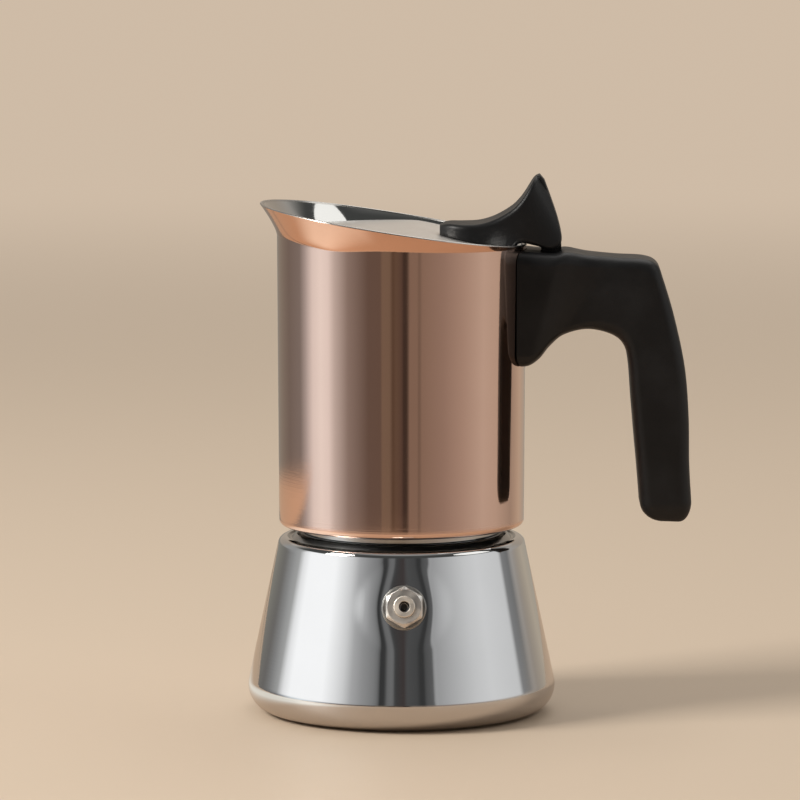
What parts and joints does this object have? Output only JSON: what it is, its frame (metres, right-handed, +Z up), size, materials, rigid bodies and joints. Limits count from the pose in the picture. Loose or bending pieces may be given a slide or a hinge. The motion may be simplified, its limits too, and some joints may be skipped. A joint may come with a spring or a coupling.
{
  "type": "moka pot",
  "caption": "Stove-top moka pot with conical steel boiler and safety valve, screw-on copper-finished pouring collector, hinged lid with thumb lever, and black handle.",
  "frame": {"origin": "centre of the boiler's flat underside, on the surface that it stands on", "axes": "+Z up along the pot's centre line, +X towards the handle, -Y towards the safety valve's side"},
  "size_m": [0.1368, 0.0956, 0.1665],
  "materials": {
    "boiler_steel": "mirror-polished stainless steel",
    "copper_finish": "mirror-polished copper colour on steel",
    "inner_steel": "fine satin",
    "satin_steel": "satin brushed",
    "hardware_steel": "plain bright",
    "nickel_brass": "nickel-plated",
    "black_plastic": "satin moulded, heat-proof",
    "silicone": "matte moulded"
  },
  "bodies": {
    "boiler": {"boiler_shell": "boiler_steel", "base_disc": "boiler_steel", "boiler_neck": "boiler_steel", "valve_body": "nickel_brass", "valve_washer": "nickel_brass", "valve_nut": "nickel_brass", "valve_bush": "nickel_brass", "valve_spring": "hardware_steel", "funnel_basket": "inner_steel", "funnel_sieve": "inner_steel", "funnel_tube": "inner_steel"},
    "poppet": {"valve_poppet": "nickel_brass"},
    "seal": {"gasket": "silicone", "filter_plate": "inner_steel"},
    "collector": {"collector_shell": "copper_finish", "collector_floor": "inner_steel", "threaded_ring": "inner_steel", "column": "inner_steel", "column_cap": "inner_steel", "handle": "black_plastic", "handle_bracket": "hardware_steel", "handle_screw": "hardware_steel", "hinge_pin": "hardware_steel"},
    "lid": {"lid_plate": "satin_steel", "lid_lever": "black_plastic", "lid_screws": "hardware_steel"}
  },
  "joints": [
    {"name": "collector_lift", "type": "slide", "parent": "boiler", "child": "seal", "axis": [0, 0, 1], "range_m": [0, 0.0072]},
    {"name": "collector_unscrew", "type": "hinge", "parent": "seal", "child": "collector", "pos_m": [0, 0, 0.07], "axis": [0, 0, 1], "range_deg": [0, 720]},
    {"name": "lid_hinge", "type": "hinge", "parent": "collector", "child": "lid", "pos_m": [0.046, 0, 0.147], "axis": [0, 1, 0], "range_deg": [0, 95]},
    {"name": "valve_opening", "type": "slide", "parent": "boiler", "child": "poppet", "axis": [0.0341, -0.9772, 0.2096], "range_m": [0, 0.0012], "stiffness_N_per_m": 1200, "springref_m": -0.001, "deforming": ["valve_spring"]}
  ],
  "couplings": [
    {"joint": "collector_lift", "follows": "collector_unscrew", "m_per_rad": 0.00057295}
  ]
}
